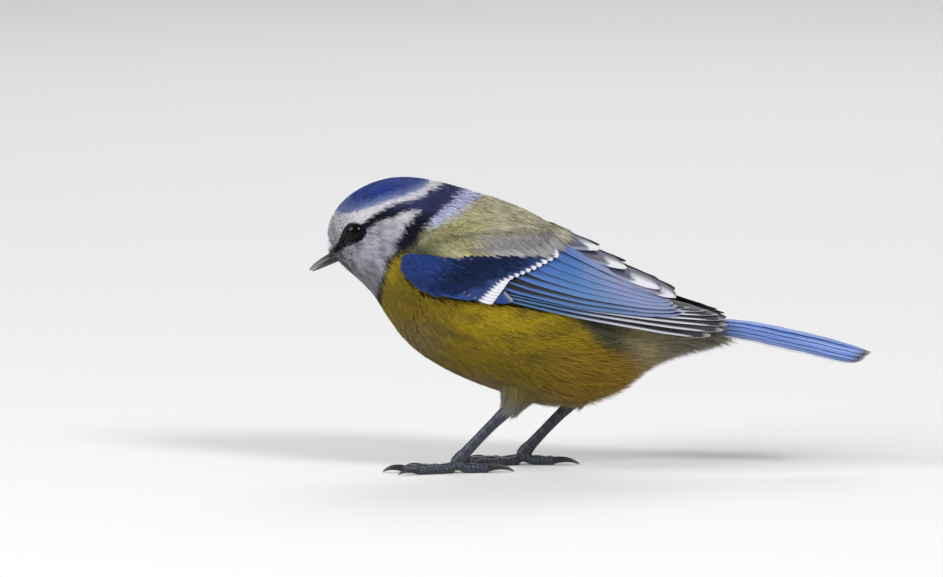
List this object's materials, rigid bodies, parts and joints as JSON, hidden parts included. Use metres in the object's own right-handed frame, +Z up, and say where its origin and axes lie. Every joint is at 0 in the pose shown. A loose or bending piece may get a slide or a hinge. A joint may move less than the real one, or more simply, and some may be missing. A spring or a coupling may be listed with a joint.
{
  "type": "blue tit figure",
  "caption": "Life-size still model of a blue tit standing on level ground, wings folded, head tilted down, facing -X.",
  "frame": {"origin": "on the ground, at the middle of the bird's bounding box seen from above", "axes": "+Z up, -X the way the bird faces, -Y its left side"},
  "size_m": [0.1125, 0.0414, 0.0586],
  "materials": {
    "white_plumage": "soft",
    "collar_plumage": "soft",
    "yellow_plumage": "soft",
    "wing_blue": "satin",
    "tail_blue": "satin",
    "thigh_plumage": "soft",
    "bill_horn": "satin",
    "leg_slate": "satin",
    "claw_horn": "satin",
    "eye_black": "gloss"
  },
  "bodies": {
    "root": {"head": "white_plumage", "neck": "collar_plumage", "torso": "yellow_plumage", "bill_upper": "bill_horn", "bill_lower": "bill_horn", "eye_left": "eye_black", "eye_right": "eye_black", "wing_left": "wing_blue", "wing_right": "wing_blue", "tail": "tail_blue", "thigh_left": "thigh_plumage", "tarsus_left": "leg_slate", "foot_left": "leg_slate", "claw_left_inner": "claw_horn", "claw_left_middle": "claw_horn", "claw_left_outer": "claw_horn", "claw_left_hind": "claw_horn", "thigh_right": "thigh_plumage", "tarsus_right": "leg_slate", "foot_right": "leg_slate", "claw_right_inner": "claw_horn", "claw_right_middle": "claw_horn", "claw_right_outer": "claw_horn", "claw_right_hind": "claw_horn"}
  },
  "joints": []
}
